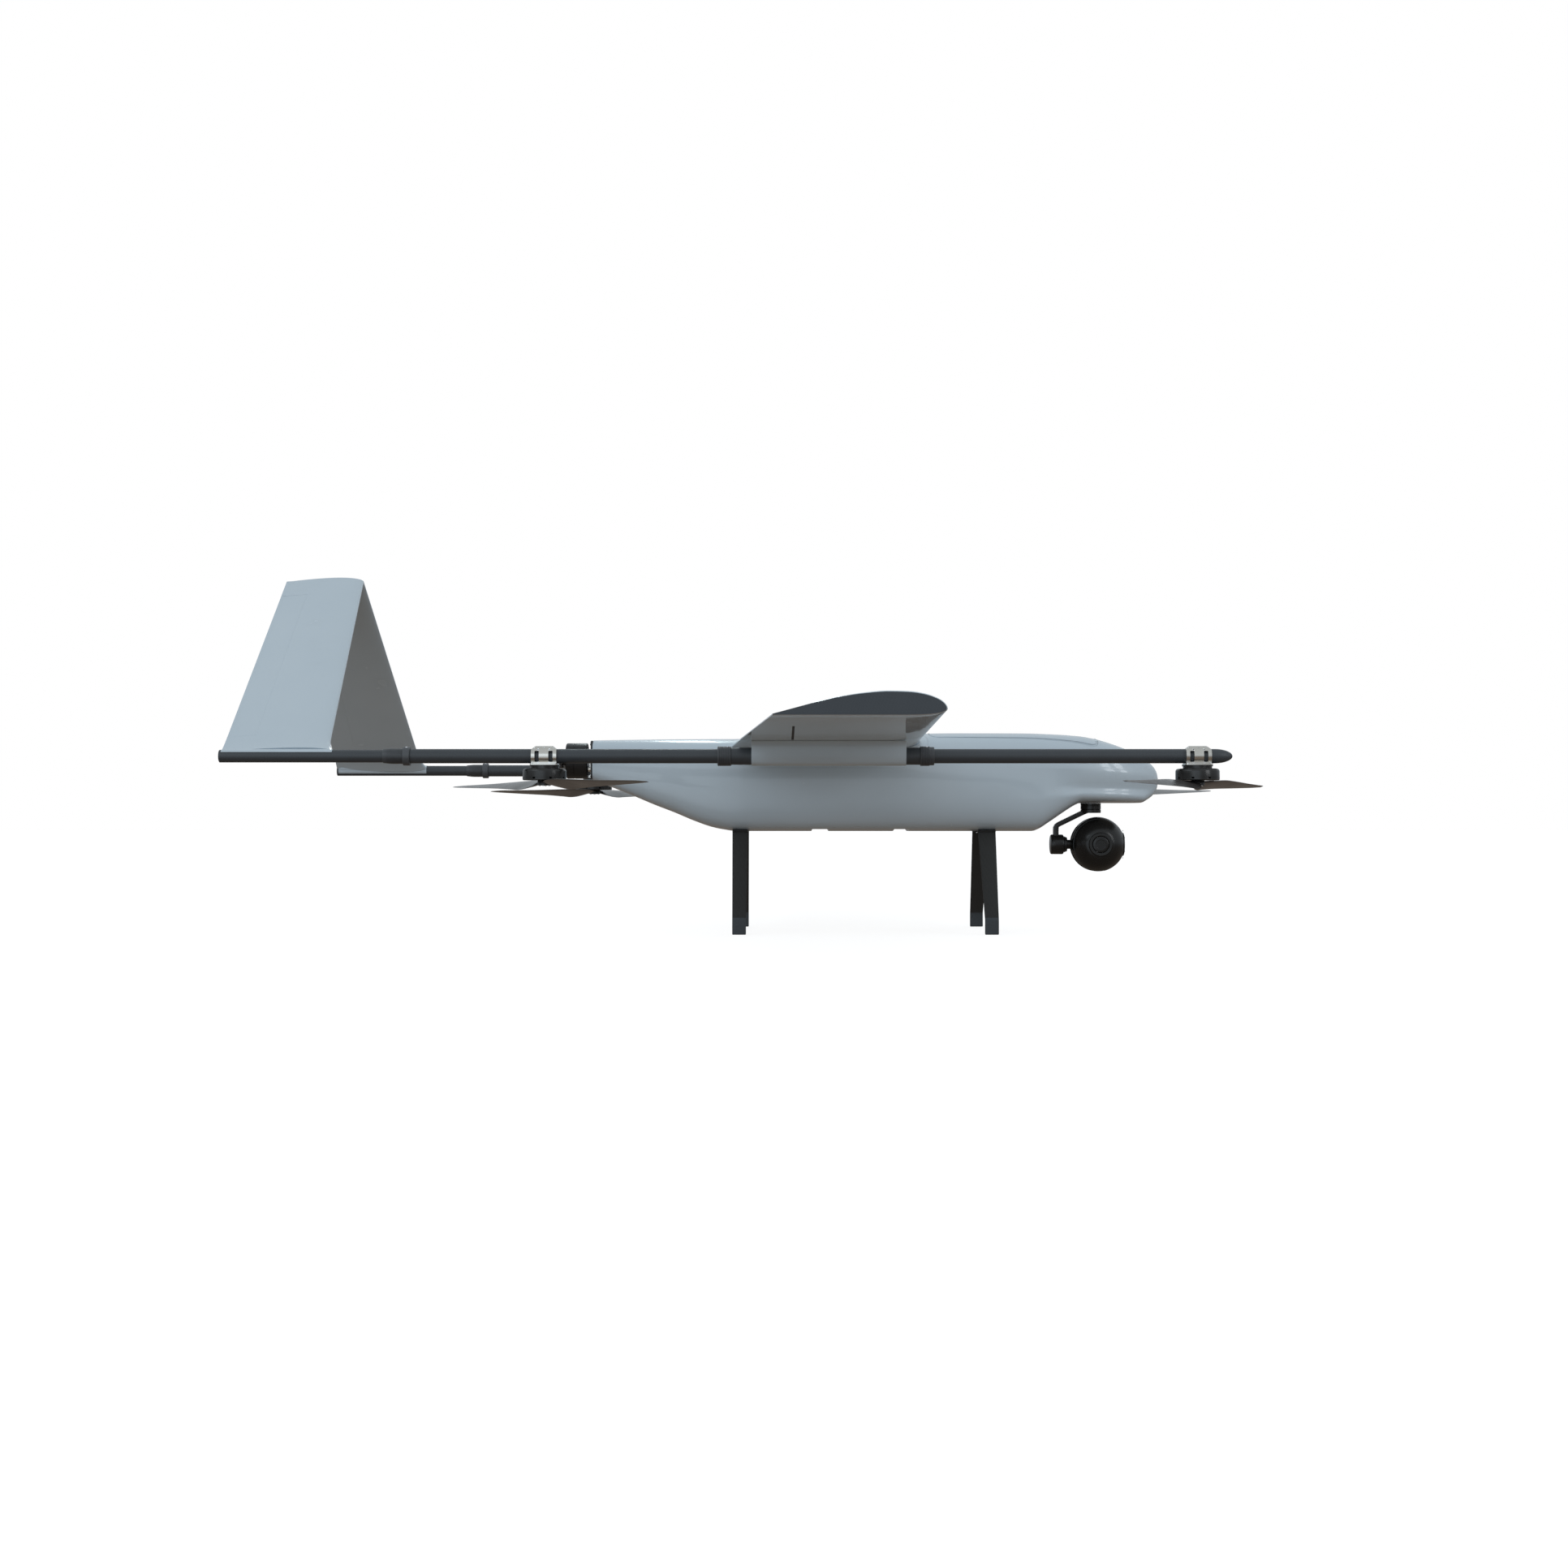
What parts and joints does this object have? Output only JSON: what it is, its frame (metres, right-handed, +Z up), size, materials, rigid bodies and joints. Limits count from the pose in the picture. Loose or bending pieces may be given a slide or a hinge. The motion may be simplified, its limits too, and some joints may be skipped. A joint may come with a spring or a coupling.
{
  "type": "fixed wing drone",
  "caption": "Twin-boom VTOL fixed wing drone with inverted V tail, underslung lift rotors, rear pusher propeller, plate legs and a nose camera gimbal.",
  "frame": {"origin": "centre of the bounding box in X and Y, on the ground plane the feet stand on", "axes": "+X towards the nose, +Y towards the left wing tip, +Z up"},
  "size_m": [1.8717, 2.784, 0.6962],
  "materials": {
    "gloss_paint": "glossy pale grey paint over composite skin",
    "carbon_tube": "satin carbon tube",
    "black_plastic": "matt black",
    "battery": "matt wrap",
    "machined_aluminium": "machined, satin",
    "motor_metal": "dark anodised, semi-gloss",
    "propeller": "satin moulded carbon",
    "leg_plate": "matt composite plate",
    "black_metal": "black anodised, semi-gloss",
    "lens": "dark coated glass look"
  },
  "bodies": {
    "airframe": {"fuselage_shell": "gloss_paint", "wing_centre": "gloss_paint", "battery_pack": "battery", "avionics_box": "black_plastic", "wing_spar": "carbon_tube", "wing_left": "gloss_paint", "pod_left": "gloss_paint", "tail_panel_left": "gloss_paint", "boom_socket_left": "carbon_tube", "boom_front_left": "carbon_tube", "boom_rear_left": "carbon_tube", "boom_tail_left": "carbon_tube", "collar_front_left": "black_plastic", "collar_rear_left": "black_plastic", "tail_adapter_left": "black_plastic", "motor_mount_front_left": "machined_aluminium", "motor_base_front_left": "motor_metal", "leg_front_left": "leg_plate", "motor_mount_rear_left": "machined_aluminium", "motor_base_rear_left": "motor_metal", "leg_rear_left": "leg_plate", "wing_right": "gloss_paint", "pod_right": "gloss_paint", "tail_panel_right": "gloss_paint", "boom_socket_right": "carbon_tube", "boom_front_right": "carbon_tube", "boom_rear_right": "carbon_tube", "boom_tail_right": "carbon_tube", "collar_front_right": "black_plastic", "collar_rear_right": "black_plastic", "tail_adapter_right": "black_plastic", "motor_mount_front_right": "machined_aluminium", "motor_base_front_right": "motor_metal", "leg_front_right": "leg_plate", "motor_mount_rear_right": "machined_aluminium", "motor_base_rear_right": "motor_metal", "leg_rear_right": "leg_plate", "pusher_mount": "machined_aluminium", "pusher_stator": "motor_metal", "gimbal_mount": "black_metal"},
    "hatch": {"hatch_cover": "gloss_paint"},
    "rotor_pusher": {"pusher_bell": "motor_metal", "prop_pusher": "propeller"},
    "gimbal_yaw": {"gimbal_yaw_arm": "black_metal"},
    "gimbal_roll": {"gimbal_yoke": "black_metal"},
    "gimbal_pitch": {"gimbal_ball": "black_metal", "gimbal_lens": "lens"},
    "aileron_left": {"aileron_left": "gloss_paint"},
    "ruddervator_left": {"ruddervator_left": "gloss_paint"},
    "rotor_front_left": {"motor_bell_front_left": "motor_metal", "prop_front_left": "propeller"},
    "rotor_rear_left": {"motor_bell_rear_left": "motor_metal", "prop_rear_left": "propeller"},
    "aileron_right": {"aileron_right": "gloss_paint"},
    "ruddervator_right": {"ruddervator_right": "gloss_paint"},
    "rotor_front_right": {"motor_bell_front_right": "motor_metal", "prop_front_right": "propeller"},
    "rotor_rear_right": {"motor_bell_rear_right": "motor_metal", "prop_rear_right": "propeller"}
  },
  "joints": [
    {"name": "lift_spin_front_left", "type": "hinge", "parent": "airframe", "child": "rotor_front_left", "pos_m": [0.7668, 0.502, 0.285], "axis": [0, 0, 1], "continuous": true},
    {"name": "lift_spin_front_right", "type": "hinge", "parent": "airframe", "child": "rotor_front_right", "pos_m": [0.7668, -0.502, 0.285], "axis": [0, 0, 1], "continuous": true},
    {"name": "lift_spin_rear_left", "type": "hinge", "parent": "airframe", "child": "rotor_rear_left", "pos_m": [-0.3702, 0.502, 0.285], "axis": [0, 0, 1], "continuous": true},
    {"name": "lift_spin_rear_right", "type": "hinge", "parent": "airframe", "child": "rotor_rear_right", "pos_m": [-0.3702, -0.502, 0.285], "axis": [0, 0, 1], "continuous": true},
    {"name": "pusher_spin", "type": "hinge", "parent": "airframe", "child": "rotor_pusher", "pos_m": [-0.3632, 0, 0.3338], "axis": [1, 0, 0], "continuous": true},
    {"name": "aileron_hinge_left", "type": "hinge", "parent": "airframe", "child": "aileron_left", "pos_m": [0.0592, 0.8175, 0.36395], "axis": [0, 1, -0.0098], "range_deg": [-25, 25]},
    {"name": "aileron_hinge_right", "type": "hinge", "parent": "airframe", "child": "aileron_right", "pos_m": [0.0592, -0.8175, 0.36395], "axis": [0, 1, 0.0098], "range_deg": [-25, 25]},
    {"name": "ruddervator_hinge_left", "type": "hinge", "parent": "airframe", "child": "ruddervator_left", "pos_m": [-0.8847, 0.2502, 0.50802], "axis": [0, 0.8123, -0.5833], "range_deg": [-25, 25]},
    {"name": "ruddervator_hinge_right", "type": "hinge", "parent": "airframe", "child": "ruddervator_right", "pos_m": [-0.8847, -0.2502, 0.50802], "axis": [0, 0.8123, 0.5833], "range_deg": [-25, 25]},
    {"name": "gimbal_yaw", "type": "hinge", "parent": "airframe", "child": "gimbal_yaw", "pos_m": [0.6513, 0, 0.2384], "axis": [0, 0, 1], "range_deg": [-160, 160]},
    {"name": "gimbal_roll", "type": "hinge", "parent": "gimbal_yaw", "child": "gimbal_roll", "pos_m": [0.597, 0, 0.1696], "axis": [1, 0, 0], "range_deg": [-45, 45]},
    {"name": "gimbal_pitch", "type": "hinge", "parent": "gimbal_roll", "child": "gimbal_pitch", "pos_m": [0.6642, 0, 0.1696], "axis": [0, 1, 0], "range_deg": [-30, 90]},
    {"name": "hatch_lift", "type": "slide", "parent": "airframe", "child": "hatch", "axis": [0, 0, 1], "range_m": [0, 0.12]}
  ],
  "couplings": [
    {"joint": "aileron_hinge_right", "follows": "aileron_hinge_left", "ratio": -1}
  ]
}
